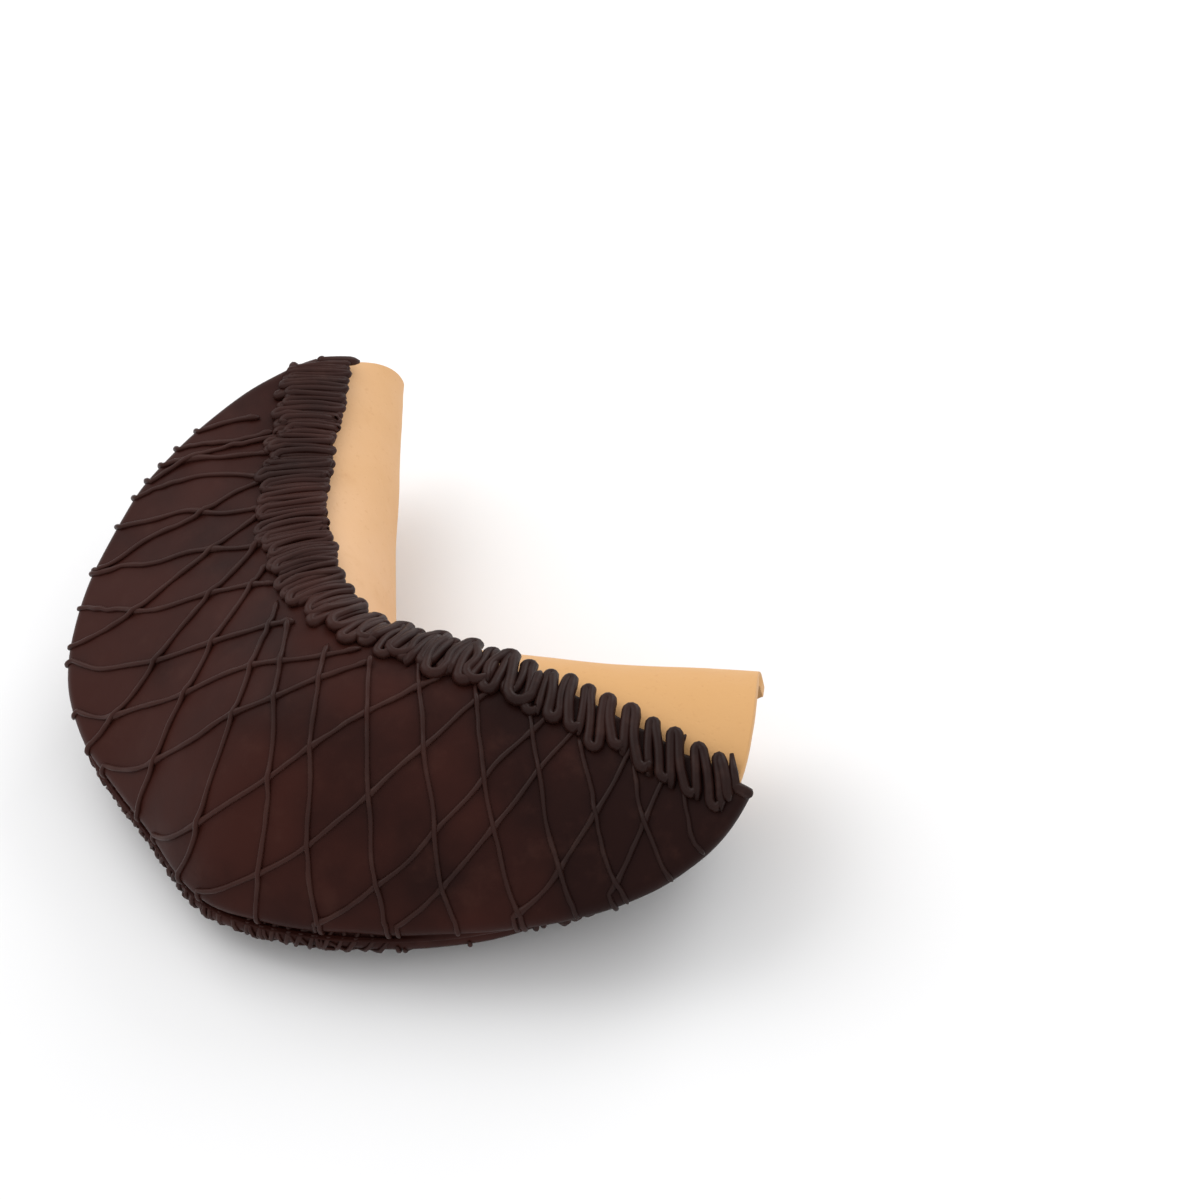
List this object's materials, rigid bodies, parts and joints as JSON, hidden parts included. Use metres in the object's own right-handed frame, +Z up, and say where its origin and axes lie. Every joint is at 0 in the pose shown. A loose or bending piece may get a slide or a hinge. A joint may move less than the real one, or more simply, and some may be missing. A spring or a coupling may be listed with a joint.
{
  "type": "chocolate-dipped fortune cookie",
  "caption": "Giant folded fortune cookie with a bare biscuit band along its spine, dipped in dark chocolate, with a piped zigzag border over each edge of the dip.",
  "frame": {"origin": "middle of the footprint, on the surface that the cookie rests on", "axes": "+Z up, with the cookie lying on its back layer; +Y along its longest side, the way the notch opens"},
  "size_m": [0.1884, 0.2028, 0.0656],
  "materials": {
    "biscuit": "matte baked wafer",
    "chocolate": "satin set chocolate",
    "piped_chocolate": "satin piped chocolate"
  },
  "bodies": {
    "root": {"wafer": "biscuit", "chocolate_dip": "chocolate", "piping_front": "piped_chocolate", "piping_back": "piped_chocolate"}
  },
  "joints": []
}
